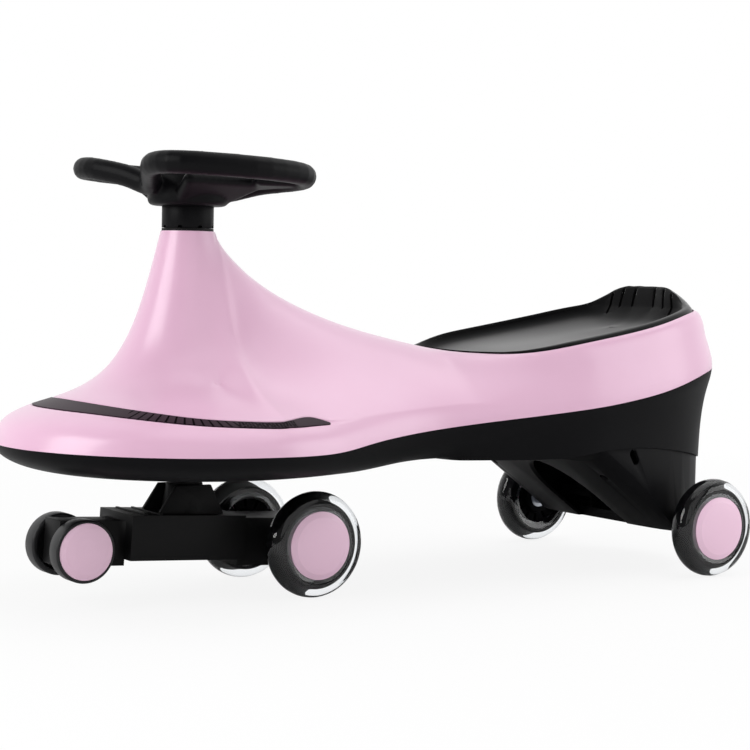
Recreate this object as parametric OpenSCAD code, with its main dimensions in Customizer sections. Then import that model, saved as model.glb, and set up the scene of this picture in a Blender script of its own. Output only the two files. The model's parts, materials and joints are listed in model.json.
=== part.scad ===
// Wiggle car: ride-on toy on a swivelling front bogie, steered with a yoke wheel.
// Frame: +X forward, +Y to the rider's left, +Z up, ground at Z = 0, origin under the middle of the body.

/* [Body] */
// overall length of the body, nose to tail
body_length = 800; // [740:1:860]
// width of the round front brim at the parting line
brim_width = 323; // [300:1:345]
// width of the waist at the parting line
waist_width = 222; // [200:1:240]
// wall thickness of the moulded shells
wall = 3; // [2.4:0.1:3.6]
// outside diameter of the neck at its top
neck_d = 50; // [48:0.5:56]
// height of the top of the neck
neck_z = 340; // [325:1:365]
// height of the parting line under the brim
brim_z = 144; // [141:1:150]
// distance from the column axis forward to the nose
nose_reach = 179; // [170:1:190]
// height of the flat underside of the base
floor_z = 120; // [116:1:124]

/* [Seat] */
// width of the seat opening in the shell
seat_width = 230; // [212:1:238]
// width of the pink land beside the seat
seat_land = 13; // [10:0.5:17]
// depth of the seat floor below its rim
seat_depth = 10; // [6:0.5:14]
// height of the backrest above the tail rim
backrest_rise = 20; // [12:1:26]
// gap between the seat and the shell all round
seat_gap = 0.8; // [0.6:0.1:1.2]

/* [Running gear] */
// diameter of the four light-up wheels
wheel_d = 100; // [94:1:104]
// width of the clear tyres
tyre_w = 24; // [20:1:26]
// diameter of the pink wheel caps
cap_d = 64; // [58:1:66]
// distance between the mid-planes of the rear wheels
rear_track = 292; // [290:1:312]
// distance between the mid-planes of the front wheels
front_track = 133; // [130:1:150]
// distance between the mid-planes of the small guide wheels
guide_track = 53; // [50:1:66]
// diameter of the small guide wheels
guide_d = 57; // [50:1:60]
// height of the guide axle above the ground
guide_z = 53; // [50:0.5:58]
// distance of the rear axle from the tail
rear_overhang = 87; // [84:1:94]
// distance of the front axle behind the column
front_trail = 102.5; // [96:0.5:112]
// distance of the guide axle ahead of the column
guide_lead = 115.4; // [108:0.2:118]
// diameter of the wheel axles
axle_d = 8; // [7:0.5:9]

/* [Hidden] */
$fn = 48;
nose_x = body_length / 2;
tail_x = -body_length / 2;
col_x = nose_x - nose_reach;
rear_x = tail_x + rear_overhang;
front_x = col_x - front_trail;
guide_x = col_x + guide_lead;
axle_z = wheel_d / 2;
hip_width = seat_width + 2 * seat_land;
neck_r = neck_d / 2;
// lengthwise features keep their share of the body length
stretch = body_length / 772;
waist_x = col_x - 213 * stretch;
hip_x = col_x - 404 * stretch;
tip_x = col_x - 249 * stretch;
tip_z = neck_z - 108;
seat_mid_x = col_x - 375 * stretch;
seat_end_x = tail_x + 25;
// clearances: running fit, assembly gap, seam between the two shells
run = 0.05;
gap = 0.3;
seam = 0.3;

pink = "#EFBBDD";
black = "#26262A";
steel = "#B9BCC2";
clear = "#D9DDE2";

// Curve helpers
function mix(a, b, t) = a + (b - a) * t;
function unit(v) = v / max(norm(v), 1e-9);
function ease(t) = (1 - cos(180 * max(0, min(1, t)))) / 2;
function bez(a, b, c, d, t) = a * pow(1 - t, 3) + 3 * b * t * pow(1 - t, 2)
    + 3 * c * t * t * (1 - t) + d * pow(t, 3);
function spline(a, b, c, d, t) = 0.5 * (2 * b + (c - a) * t + (2 * a - 5 * b + 4 * c - d) * t * t
    + (3 * b - a - 3 * c + d) * t * t * t);
// value along X through points listed from front to rear
function slope(p, i) = let(n = len(p) - 1, a = p[max(i - 1, 0)], b = p[min(i + 1,
    n)]) (b[1] - a[1]) / (b[0] - a[0]);
function along(p, x, i = 0) = i >= len(p) - 2 || x >= p[i + 1][0]
    ? let(h = p[i + 1][0] - p[i][0], t = max(0, min(1, (x - p[i][0]) / h)))
        p[i][1] * (1 + 2 * t) * pow(1 - t, 2) + h * slope(p, i) * t * pow(1 - t, 2)
        + p[i + 1][1] * t * t * (3 - 2 * t) + h * slope(p, i + 1) * t * t * (t - 1)
    : along(p, x, i + 1);

// Parting line between the pink shell and the black base
function behind(d) = col_x - d * stretch;
part_z = [[nose_x, brim_z + 2], [col_x, brim_z], [behind(75), brim_z], [behind(128), brim_z + 6.5],
    [behind(204), brim_z + 14], [behind(380), brim_z + 31], [behind(453), brim_z + 41.5],
    [behind(500), brim_z + 52], [behind(541), brim_z + 62], [tail_x, brim_z + 69]];
tail_n = 2.5;
rim_n = 2.7;
lip_rise = 4;
function half_width(x) =
    x >= col_x ? brim_width / 2 * sqrt(max(0, 1 - pow((x - col_x) / nose_reach, 2)))
    : x >= waist_x ? mix(brim_width, waist_width, ease((col_x - x) / (col_x - waist_x))) / 2
    : x >= hip_x ? mix(waist_width, hip_width, ease((waist_x - x) / (waist_x - hip_x))) / 2
    : hip_width / 2 * pow(max(0, 1 - pow((hip_x - x) / (hip_x - tail_x), tail_n)), 1 / tail_n);
function parting(x) = [x, half_width(x), along(part_z, x)];

// Top of the spine behind the neck, and the rim of the seat opening
spine_z = [[col_x - neck_r, neck_z], [behind(34), neck_z - 16], [behind(48), neck_z - 33],
    [behind(75), neck_z - 53], [behind(107), neck_z - 70], [behind(173), neck_z - 94], [tip_x, tip_z]];
rim_z = [[tip_x, tip_z], [behind(271), tip_z - 4], [behind(310), tip_z - 4.5], [behind(368), tip_z + 6],
    [behind(426), tip_z + 15.5], [behind(484), tip_z + 26.5], [behind(521), tip_z + 35],
    [seat_end_x, tip_z + 41]];
function rim_half(x) = x >= seat_mid_x
    ? seat_width / 2 * sin(90 * pow(max(0, (tip_x - x) / (tip_x - seat_mid_x)), 0.76))
    : seat_width / 2 * pow(max(0, 1 - pow((seat_mid_x - x) / (seat_mid_x - seat_end_x), rim_n)), 1 / rim_n);

// Flank bulge: hollow on the hat, full at the waist and the hips
bulge = [[col_x, -40], [behind(26), -26], [behind(48), -13], [behind(107), 8], [waist_x, 20],
    [tip_x, 19], [behind(328), 8], [hip_x, 4], [tail_x, 4]];

// Body stations from nose to tail: a foot on the parting line, a head on the neck, the spine or the seat rim
front_n = 9;
neck_n = 4;
spine_n = 13;
bow_n = 10;
stern_n = 11;
stations = concat(
    [for (i = [0:front_n]) ["hat", 90 * i / front_n]],
    [for (i = [1:neck_n]) ["neck", 90 + 90 * i / neck_n]],
    [for (i = [1:spine_n]) ["spine", i / spine_n]],
    [for (i = [1:bow_n]) ["bow", i / bow_n]],
    [for (i = [1:stern_n]) ["stern", 90 * i / stern_n]]);
last = len(stations) - 1;
tip_i = front_n + neck_n + spine_n;
function is_hat(st) = st[0] == "hat" || st[0] == "neck";
function spine_x(s) = mix(col_x - neck_r, tip_x, pow(s, 1.33));
function stern(mid, end, half, n, a) = [mid - (mid - end) * pow(sin(a), 2 / n),
    a < 90 ? half * pow(cos(a), 2 / n) : 0];
function foot(st) = st[0] == "hat" ? let(p = parting(col_x + nose_reach * cos(st[1]))) [p[0], st[1] == 0
    ? 0 : p[1], p[2]]
    : st[0] == "neck" ? parting(col_x + neck_r * cos(st[1]))
    : st[0] == "spine" ? parting(spine_x(st[1]))
    : st[0] == "bow" ? parting(mix(tip_x, hip_x, pow(st[1], 1.3)))
    : let(p = stern(hip_x, tail_x, hip_width / 2, tail_n, st[1])) [p[0], p[1], along(part_z, p[0])];
function head(st) = is_hat(st) ? [col_x + neck_r * cos(st[1]), st[1] == 0 || st[1] == 180 ? 0
    : neck_r * sin(st[1]), neck_z]
    : st[0] == "spine" ? let(x = spine_x(st[1])) [x, 0, along(spine_z, x)]
    : st[0] == "bow" ? let(x = mix(tip_x, seat_mid_x, pow(st[1], 1.3))) [x, rim_half(x), along(rim_z, x)]
    : let(p = stern(seat_mid_x, seat_end_x, seat_width / 2, rim_n, st[1])) [p[0], p[1], along(rim_z, p[0])];
// level direction from head to foot
function out(p, q) = unit([p[0] - q[0], p[1] - q[1], 0]);
function outward(st) = out(foot(st), head(st));
// handle at the head: conical at the neck, level across the spine, rolled at the seat rim
function roll(st, o, d) = st[0] == "hat" ? (o * 0.24 + [0, 0, -0.97]) * d * 0.42
    : st[0] == "neck" ? let(s = max(sin(st[1]), 1e-6), c = cos(st[1]),
        r = atan(0.24 * s + 0.62 * c * c / s))
        (o * sin(r) + [0, 0, -cos(r)]) * mix(d * 0.42, 31, ease((st[1] - 90) / 90))
    : st[0] == "spine" ? o * 33
    : st[0] == "bow" ? o * mix(33, 12, ease(st[1] * 1.6))
    : o * 12;
// point of the outer skin: t = 0 at the foot, 1 on the flank, 2 at the head
function skin(st, t) = let(
    p = foot(st), q = head(st), o = out(p, q), reach = (p - q) * o, rise = q[2] - p[2],
    up = [0, 0, 1], nrm = unit(o * rise + up * reach),
    m = mix(p, q, 0.5) + nrm * along(bulge, min(p[0], col_x)),
    tan = unit(q - p), a = norm(m - p), b = norm(q - m))
    t <= 1 ? bez(p, p + up * a * 0.33, m - tan * a * 0.45, m, t)
    : bez(m, m + tan * b * 0.28, q + roll(st, o, b), q, t - 1);

// Trim inlay wrapped round the nose: lower edge, upper edge and depth of its recess
trim_d = 1.4;
trim_end = behind(72);
trim_low = [[nose_x, 0.46], [col_x + nose_reach * 0.866, 0.436], [col_x + nose_reach * 0.643, 0.375],
    [col_x + nose_reach * 0.34, 0.305], [col_x, 0.269], [behind(24), 0.248], [behind(40), 0.276],
    [behind(53), 0.296], [trim_end, 0.305], [tail_x, 0.305]];
trim_top = [[nose_x, 0.641], [col_x + nose_reach * 0.866, 0.597], [col_x + nose_reach * 0.643, 0.524],
    [col_x + nose_reach * 0.34, 0.425], [col_x, 0.376], [behind(24), 0.349], [behind(40), 0.419],
    [behind(53), 0.452], [behind(62), 0.415], [trim_end, 0.355], [tail_x, 0.355]];
function trim_b(st) = along(trim_low, foot(st)[0]);
function trim_t(st) = along(trim_top, foot(st)[0]);
function trim_depth(st) = foot(st)[0] >= trim_end ? trim_d : 0;
function rows(st) = let(a = trim_b(st), b = trim_t(st)) concat(
    [for (i = [0:4]) a * i / 4], [a + 0.012, mix(a, b, 0.5), b - 0.012],
    [for (i = [0:4]) mix(b, 1, i / 4)], [for (i = [1:6]) 1 + i / 6]);
skin_rows = len(rows(stations[0])) - 1;
inner_t = [0, 0.17, 0.34, 0.5, 0.68, 0.86, 1.05, 1.28, 1.52, 1.76, 2];

// Unit normal of a half grid that is mirrored at its first and last columns
function step(g, i, j) = i == 0 ? [0, 1, 0] : i == len(g) - 1 ? [0, -1, 0] : g[i + 1][j] - g[i - 1][j];
function normal(g, i, j) = let(n = len(g[i]) - 1)
    unit(cross(step(g, i, j), g[i][min(j + 1, n)] - g[i][max(j - 1, 0)]));
function flat(p, on) = on ? [p[0], 0, p[2]] : p;
bare = [for (s = stations) [for (t = rows(s)) skin(s, t)]];
outer = [for (i = [0:last]) [for (j = [0:skin_rows]) let(d = j >= 5 && j <= 7 ? trim_depth(stations[i]) : 0)
    flat(bare[i][j] - normal(bare, i, j) * d,
        i == 0 || i == last || (j == skin_rows && stations[i][0] == "spine"))]];
lining = [for (s = stations) [for (t = inner_t) skin(s, t)]];
inner_rows = len(inner_t) - 1;
function inset(i, j) = let(s = stations[i], p = lining[i][j])
    j == 0 ? p - outward(s) * wall
    : j < inner_rows || s[0] == "spine" || (s[0] == "neck" && s[1] == 180) ? p - normal(lining, i, j) * wall
    : is_hat(s) ? [col_x + (neck_r - wall) * cos(s[1]), (neck_r - wall) * sin(s[1]), neck_z]
    : p - [0, 0, wall];
inner = [for (i = [0:last]) [for (j = [0:inner_rows])
    flat(inset(i, j), i == 0 || i == last || (j == inner_rows && abs(outer[i][skin_rows][1]) < 1e-6))]];

// Closed ring of columns from a half grid and its mirror image
function ring(g) = let(n = len(g) - 1) concat(g, [for (i = [n - 1:-1:1]) [for (p = g[i]) [p[0], -p[1],
    p[2]]]]);
function centred(a, b) = abs(a[1]) < 1e-6 && abs(b[1]) < 1e-6;
function quad(a, b, c, d) = [[a, b, c], [a, c, d]];
function turned(f) = [for (t = f) [t[2], t[1], t[0]]];

// Solid between an outer and an inner ring of columns, closed along both edges but not on the centre line
module between(a, b) {
    n = len(a);
    ma = len(a[0]);
    mb = len(b[0]);
    pts = concat([for (c = a) each c], [for (c = b) each c]);
    o = n * ma;
    function ia(i, j) = (i % n) * ma + j;
    function ib(i, j) = o + (i % n) * mb + j;
    faces = concat(
        [for (i = [0:n - 1], j = [0:ma - 2]) each quad(ia(i, j), ia(i, j + 1), ia(i + 1, j + 1), ia(i + 1,
            j))],
        [for (i = [0:n - 1], j = [0:mb - 2]) each quad(ib(i, j), ib(i + 1, j), ib(i + 1, j + 1), ib(i,
            j + 1))],
        [for (i = [0:n - 1]) if (!centred(pts[ia(i, 0)], pts[ia(i + 1, 0)]))
            each quad(ia(i, 0), ia(i + 1, 0), ib(i + 1, 0), ib(i, 0))],
        [for (i = [0:n - 1]) if (!centred(pts[ia(i, ma - 1)], pts[ia(i + 1, ma - 1)]))
            each quad(ia(i, ma - 1), ib(i, mb - 1), ib(i + 1, mb - 1), ia(i + 1, ma - 1))]);
    polyhedron(pts, faces, convexity = 8);
}

// Solid from columns that run round a section, with flat floors joining left and right at both ends
module tray(half) {
    a = ring(half);
    n = len(a);
    m = len(a[0]);
    h = len(half) - 1;
    pts = [for (c = a) each c];
    function ia(i, j) = (i % n) * m + j;
    faces = concat(
        [for (i = [0:n - 1], j = [0:m - 2]) each quad(ia(i, j), ia(i, j + 1), ia(i + 1, j + 1), ia(i + 1,
            j))],
        [for (i = [0:h - 1]) each quad(ia(i, 0), ia(i + 1, 0), ia(n - i - 1, 0), ia(n - i, 0))],
        [for (i = [0:h - 1]) each quad(ia(i, m - 1), ia(n - i, m - 1), ia(n - i - 1, m - 1), ia(i + 1,
            m - 1))]);
    polyhedron(pts, faces, convexity = 8);
}

// Posts that hang from the shell to the base floor: station angle on the brim and place on the flank
post_t = 0.9;
shell_posts = [for (a = [0, 48, -48, 84, -84]) let(p = skin(["hat", abs(a)], post_t))
    [p[0], a < 0 ? -p[1] : p[1], p[2]]];
post_r = 5.5;
// how far the flat top of a post stays below the sloped outer skin
post_drop = 4.3;
screw_r = 2;
head_r = 3.8;
// rise of the base floor at each shell screw, so that its head lies above the flat face
shell_pad = 3;

module body_shell() {
    color(pink) difference() {
        union() {
            between(ring(outer), ring(inner));
            for (p = shell_posts) translate([p[0], p[1], floor_z + wall + shell_pad])
                cylinder(r = post_r, h = p[2] - floor_z - wall - shell_pad - post_drop);
        }
        for (p = shell_posts) translate([p[0], p[1], floor_z]) cylinder(r = screw_r + run, h = 18 + shell_pad);
    }
}

// Black base: bowl under the parting line, flat floor, tongue inside the shell
floor_in = [[nose_x, 68], [col_x, 46], [waist_x, 30], [tip_x, 18], [hip_x, 10], [tail_x, 15]];
// depth that the flat of the floor is cut into the bowl
flat_cut = 0.5;
flat_end = behind(130);
floor_line = [[nose_x, floor_z - flat_cut], [col_x, floor_z - flat_cut], [behind(90), floor_z - flat_cut],
    [flat_end, floor_z], [behind(190), floor_z + 5], [behind(350), floor_z + 5], [behind(416), floor_z + 14],
    [behind(503), floor_z + 6], [tail_x, floor_z - 13]];
function base_edge(st, d) = foot(st) - outward(st) * d - [0, 0, seam];
function base_foot(st) = let(p = foot(st), q = p - outward(st) * along(floor_in, p[0]))
    [q[0], q[1], along(floor_line, q[0])];
function bowl(st, d, lift, t) = let(
    p = base_edge(st, d), q = base_foot(st) - outward(st) * d * 0.4 + [0, 0, lift], o = outward(st),
    h = p[2] - q[2], flatness = ease((foot(st)[0] - tip_x) / 200 + 0.5),
    low = mix(q + [0, 0, h * 0.75], q + o * along(floor_in, foot(st)[0]) * 0.5, flatness))
    bez(q, low, p - [0, 0, h * mix(0.16, 0.6, flatness)], p, t);
// underside of the floor at x
floor_table = [for (s = stations) let(q = base_foot(s)) [q[0], q[2]]];
function floor_at(x) = lookup(x, floor_table);
// tongue that follows the lining of the shell, up to a share of its first row
tongue_gap = 0.4;
tongue_w = 2;
tongue = wall + tongue_gap;
function lap(k, d) = mix(inner[k][0], inner[k][1], 0.33) - outward(stations[k]) * d;
function base_column(k) = let(st = stations[k]) concat(
    [for (i = [0:6]) bowl(st, 0, 0, i / 6)],
    [base_edge(st, tongue), lap(k, tongue_gap), lap(k, tongue_gap + tongue_w)],
    [for (i = [4:-1:0]) bowl(st, tongue + tongue_w, wall + flat_cut, i / 4)
        - (i == 4 ? [0, 0, 3] : [0, 0, 0])]);
base_half = [for (k = [0:last]) [for (p = base_column(k)) flat(p, k == 0 || k == last)]];

// Seat posts on the base and column boss
seat_post_z = 186;
boss_r = 15;
boss_low = 110;
boss_top = 168;
bush_r = 11;
shaft_r = 8;

module base_tray() {
    color(black) difference() {
        union() {
            difference() {
                tray(base_half);
                translate([flat_end, -brim_width / 2, floor_z - 9]) cube([nose_x - flat_end, brim_width, 9]);
            }
            translate([col_x, 0, boss_low]) cylinder(r = boss_r, h = boss_top - boss_low);
            for (p = shell_posts) translate([p[0], p[1], floor_z + 1])
                cylinder(r = post_r + 2, h = wall + shell_pad - 1);
            for (p = seat_posts) translate([p[0], p[1], floor_at(p[0]) + 1])
                cylinder(r = 7, h = seat_post_z - floor_at(p[0]) - 1);
            for (p = housing_posts) translate([p[0], p[1], floor_at(p[0]) + 1])
                cylinder(r = 5, h = house_post - 1);
        }
        translate([col_x, 0, boss_low - 1]) cylinder(r = bush_r + run, h = boss_top - boss_low + 2);
        for (p = shell_posts) translate([p[0], p[1], floor_z - 1]) {
            cylinder(r = head_r + 0.7, h = 1 + shell_pad);
            cylinder(r = screw_r + gap, h = wall + shell_pad + 2);
        }
        for (p = seat_posts) translate([p[0], p[1], floor_z - 10])
            cylinder(r = 4.5, h = seat_post_z - floor_z + 6);
        for (p = seat_posts) translate([p[0], p[1], floor_z]) cylinder(r = screw_r + gap, h = 80);
        for (p = housing_posts) translate([p[0], p[1], floor_at(p[0]) - 1])
            cylinder(r = screw_r + run, h = house_post);
    }
}

// Seat: dished teardrop with a rolled rim and a raised back
seat_skirt = 12;
seat_wall = 3;
// how far each row of the underside steps in, so that the rolled rim keeps its wall
seat_lean = [0, 2.2, 1, 0, -0.8, -0.8, -0.4, 0, 0, 0, 0];
function seat_edge(st) = let(p = head(st)) [p[0] + (seat_mid_x - p[0]) * 0.005 - (st[0] == "spine" ? 1 : 0),
    max(0, p[1] - seat_gap), p[2]];
// height of the rim above the shell: a low lip at the sides, a back round the stern
function back_rise(st) = st[0] == "stern" ? lip_rise + backrest_rise * ease((st[1] - 45) / 28)
    : mix(0.4, lip_rise, st[0] == "bow" ? ease(st[1]) : 0);
function seat_centre(st) = let(x = st[0] == "stern"
    ? seat_mid_x - (seat_mid_x - seat_end_x) * 0.6 * sin(st[1])
    : mix(tip_x - 4, seat_mid_x, st[0] == "bow" ? pow(st[1], 1.3) : 0))
    [x, 0, along(rim_z, x) - seat_depth * ease((tip_x - x) / 90)];
function seat_key(st) = let(
    e = seat_edge(st), c = seat_centre(st), w = norm([e[0] - c[0], e[1] - c[1]]), o = unit([e[0] - c[0],
        e[1] - c[1], 0]),
    r = back_rise(st), k = min(1, w / 80), up = [0, 0, 1],
    crest = e - o * (4 + r * 0.45) * k + up * r * k,
    toe = e - o * (14 + r * 1.25) * k, low = [toe[0], toe[1], along(rim_z,
        toe[0]) - seat_depth * 0.86 * ease((tip_x - toe[0]) / 90)])
    [e - up * seat_skirt, e, crest, low, c];
function seat_top(st) = let(k = seat_key(st), m = [2 * k[4][0] - k[3][0], 2 * k[4][1] - k[3][1], k[3][2]])
    concat([k[1]],
    [for (t = [0.5, 1]) spline(k[0], k[1], k[2], k[3], t)],
    [for (t = [0.2, 0.4, 0.6, 0.8, 1]) spline(k[1], k[2], k[3], k[4], t)],
    [for (t = [0.25, 0.6, 1]) spline(k[2], k[3], k[4], m, t)]);
function seat_under(st) = let(t = seat_top(st), e = t[0], c = seat_centre(st), k = min(1,
    norm(e - c) / 80), o = unit([e[0] - c[0], e[1] - c[1], 0]))
    concat([e - [0, 0, seat_skirt], e - o * seat_wall * k - [0, 0, seat_skirt]],
    [for (j = [1:len(t) - 1]) t[j] - [0, 0, seat_wall] - o * seat_lean[j] * k]);
seat_st = [for (i = [tip_i:last]) stations[i]];
seat_last = len(seat_st) - 1;
seat_a = [for (i = [0:seat_last]) [for (p = seat_top(seat_st[i])) flat(p, i == 0 || i == seat_last)]];
seat_b = [for (i = [0:seat_last]) [for (p = seat_under(seat_st[i])) flat(p, i == 0 || i == seat_last)]];

// posts under the dish: on the bow and on the stern, mirrored
seat_posts = [for (s = [["bow", 0.7], ["stern", 30]], f = [1, -1])
    let(p = seat_top(s)[8]) [p[0], f * p[1], p[2]]];

// slots down the slope of the back
slot_y = [17, 35, 50];
slot_w = 3.6;
slot_run = 10;
slot_in = 27;
function slot_x(y) = slot_in + seat_mid_x
    - (seat_mid_x - seat_end_x) * pow(1 - pow(2 * y / seat_width, rim_n), 1 / rim_n);

module seat() {
    color(black) difference() {
        union() {
            between(ring(seat_a), ring(seat_b));
            for (p = seat_posts) translate([p[0], p[1], seat_post_z])
                cylinder(r = 7, h = p[2] - seat_post_z - seat_wall / 2);
        }
        for (p = seat_posts) translate([p[0], p[1], seat_post_z - 1]) cylinder(r = screw_r + run, h = 21);
        // slots down the back, three on each side
        for (y = slot_y, s = [-1, 1]) translate([slot_x(y), s * y, tip_z])
            linear_extrude(90) hull() for (d = [-slot_run, slot_run] / 2)
                translate([d, 0]) circle(r = slot_w / 2, $fn = 16);
    }
}

// Rear axle housing: boot under the base floor with a sloped, arched front
house_front = behind(395);
house_low = 42;
house_wall = 3.5;
house_step = 3;
house_toe = rear_x + 19;
house_post = 16;
house_lip = floor_z - 3;
// half width of the boot beside the wheels, and half length of its axle tube
house_wide = min(rear_track / 2 - 26, hip_width / 2 - 8);
rear_hub = rear_track / 2 - 24;
rear_gap = 10.2;
arch_w = 80;
house_st = [for (s = stations) if (foot(s)[0] <= house_front + 40) s];
function house_half(d) = [for (s = house_st) let(p = base_foot(s) - outward(s) * (house_step + d))
    [p[0], max(0, min(p[1], house_wide - d))]];
function house_ring(d) = let(h = house_half(d)) concat(h, [for (i = [len(h) - 1:-1:0]) [h[i][0], -h[i][1]]]);
house_top = concat([[house_front + 1, floor_at(house_front + 1) - seam]],
    [for (p = floor_table) if (p[0] < house_front) p - [0, seam]]);
housing_posts = [for (x = [house_front - 25, rear_x - 30], s = [1, -1])
    [x, s * (house_wide - (x > rear_x ? 28 : 52))]];
// side view of the boot, moved back by d at its sloped front
module house_side(d) {
    translate([-d, 200, 0]) rotate([90, 0, 0]) linear_extrude(400) polygon(concat(house_top,
        [[tail_x, house_low - 1], [house_toe, house_low - 1], [house_front + 1, house_lip]]));
}
// slanted prism that rounds the edges of the sloped front
house_deep = 124;
house_slope = atan((house_lip - house_low + 1) / (house_front + 1 - house_toe));
function bowed(v, r) = sign(v) * pow(abs(v), 0.25) * r;
module house_bow(d) {
    translate([house_front + 1, 0, house_lip]) rotate([0, 90 - house_slope, 0])
        translate([-house_deep - d, 0, -250]) linear_extrude(500) polygon([for (a = [2.5:5:357.5])
            [bowed(cos(a), house_deep), bowed(sin(a), house_wide + 8 - d)]]);
}
module house_plug(d, low, high) {
    translate([0, 0, low]) linear_extrude(high - low) polygon(house_ring(d));
}

module rear_axle_housing() {
    color(black) difference() {
        union() {
            difference() {
                intersection() {
                    house_plug(0, house_low, floor_z + 20);
                    house_side(0);
                    house_bow(0);
                }
                intersection() {
                    house_plug(house_wall, house_low - 1, floor_z + 22);
                    house_side(house_wall * 1.6);
                    house_bow(house_wall);
                }
                // arch between the two legs
                translate([house_front + 20, 0, house_low - 2]) rotate([90, 0, -90])
                    linear_extrude(house_front - house_toe + 34) union() {
                        translate([-arch_w / 2, 0]) square([arch_w, 30]);
                        translate([0, 30]) circle(r = arch_w / 2);
                    }
                // slanted pocket on each side
                for (s = [-1, 1]) translate([house_front - 41, s * (house_wide + 8) + 20, floor_z + 3])
                    rotate([90, 0, 0]) linear_extrude(40) hull() {
                        translate([2, 3.5]) circle(r = 4.5);
                        translate([-2, -3.5]) circle(r = 4.5);
                    }
            }
            translate([rear_x, 0, axle_z]) rotate([90, 0, 0])
                cylinder(r = 10, h = 2 * rear_hub, center = true);
            intersection() {
                house_plug(1, house_low, floor_z + 20);
                house_side(1.5);
                house_bow(1);
                union() {
                    translate([rear_x - 14, -house_wide, house_low]) cube([30, 2 * house_wide, 10]);
                    for (k = [-0.65, -0.22, 0.22, 0.65])
                        translate([rear_x - 70, k * house_wide - 1.5, house_low]) cube([86, 3, 30]);
                    for (p = housing_posts) {
                        rib_x = p[0] > rear_x ? p[0] : p[0] - 60;
                        translate([p[0], p[1], floor_at(p[0]) - house_post])
                            cylinder(r = 7, h = house_post - 2.6);
                        translate([rib_x, p[1] - 1.5, floor_at(p[0]) - house_post])
                            cube([60, 3, house_post - 8]);
                    }
                }
            }
        }
        translate([rear_x, 0, axle_z]) rotate([90, 0, 0])
            cylinder(r = axle_d / 2 + run, h = rear_track, center = true);
        for (p = housing_posts) {
            translate([p[0], p[1], floor_z - 40]) cylinder(r = screw_r + gap, h = 60);
            translate([p[0], p[1], house_low]) cylinder(r = 4.5,
                h = floor_at(p[0]) - house_post - house_low);
        }
    }
}

// Trim inlay in its recess
trim_st = [for (s = stations) if (foot(s)[0] >= trim_end) s];
trim_last = len(trim_st) - 1;
function trim_col(i, top) = let(s = trim_st[i], a = trim_b(s) + 0.016, b = trim_t(s) - 0.016)
    [for (k = [0:4]) let(t = mix(a, b, k / 4), p = skin(s, t), q = skin(s, t + 0.01),
        d = i == 0 ? [0, 1, 0] : skin(trim_st[min(i + 1, trim_last)], t) - skin(trim_st[i - 1], t),
        n = unit(cross(d, q - p)))
        flat(p - n * (top ? -0.2 : trim_d - 0.2), i == 0)];
trim_face = [for (i = [trim_last:-1:0]) trim_col(i, true)];
trim_back = [for (i = [trim_last:-1:0]) trim_col(i, false)];
function mirror_tail(g) = concat(g, [for (i = [len(g) - 2:-1:0]) [for (p = g[i]) [p[0], -p[1], p[2]]]]);

// Curved strip between two open grids of the same size
module strip(a, b) {
    n = len(a);
    m = len(a[0]);
    pts = concat([for (c = a) each c], [for (c = b) each c]);
    o = n * m;
    function ia(i, j) = i * m + j;
    faces = concat(
        [for (i = [0:n - 2], j = [0:m - 2]) each quad(ia(i, j), ia(i + 1, j), ia(i + 1, j + 1), ia(i,
            j + 1))],
        [for (i = [0:n - 2], j = [0:m - 2]) each quad(o + ia(i, j), o + ia(i, j + 1), o + ia(i + 1, j + 1),
            o + ia(i + 1, j))],
        [for (i = [0:n - 2]) each quad(ia(i, 0), o + ia(i, 0), o + ia(i + 1, 0), ia(i + 1, 0))],
        [for (i = [0:n - 2]) each quad(ia(i, m - 1), ia(i + 1, m - 1), o + ia(i + 1, m - 1), o + ia(i,
            m - 1))],
        [for (j = [0:m - 2]) each quad(ia(0, j), ia(0, j + 1), o + ia(0, j + 1), o + ia(0, j))],
        [for (j = [0:m - 2]) each quad(ia(n - 1, j), o + ia(n - 1, j), o + ia(n - 1, j + 1), ia(n - 1,
            j + 1))]);
    polyhedron(pts, faces, convexity = 6);
}
module front_trim() {
    color(black) strip(mirror_tail(trim_face), mirror_tail(trim_back));
}

// Bushes that carry the steering column
stem_r = 17;
flange_t = 2.5;
module upper_bush() {
    color(black) translate([col_x, 0, 0]) rotate_extrude() polygon([[stem_r + run, neck_z - 24],
        [neck_r - wall - gap, neck_z - 24],
        [neck_r - wall - gap, neck_z], [neck_r - 1, neck_z], [neck_r - 1, neck_z + flange_t],
            [stem_r + run, neck_z + flange_t]]);
}
module lower_bush() {
    color(black) translate([col_x, 0, 0]) rotate_extrude() polygon([[shaft_r + run, boss_low - 2],
        [boss_r - 1, boss_low - 2],
        [boss_r - 1, boss_low], [bush_r, boss_low], [bush_r, boss_top - 8], [shaft_r + run, boss_top - 8]]);
}

// Pan-head screw pointing up, head face at the origin
module screw(len) {
    cylinder(r = screw_r, h = len);
    rotate_extrude() polygon([[0, -2.4], [head_r - 1.2, -2.4], [head_r, -1.2], [head_r, 0], [0, 0]]);
}
module shell_screws() {
    color(steel) for (p = shell_posts) translate([p[0], p[1], floor_z + shell_pad]) screw(18);
}
module seat_screws() {
    color(steel) for (p = seat_posts) translate([p[0], p[1], seat_post_z - 4]) screw(20);
}
module housing_screws() {
    color(steel) for (p = housing_posts) translate([p[0], p[1], floor_at(p[0]) - house_post])
        screw(2 * house_post - 2);
}

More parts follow.
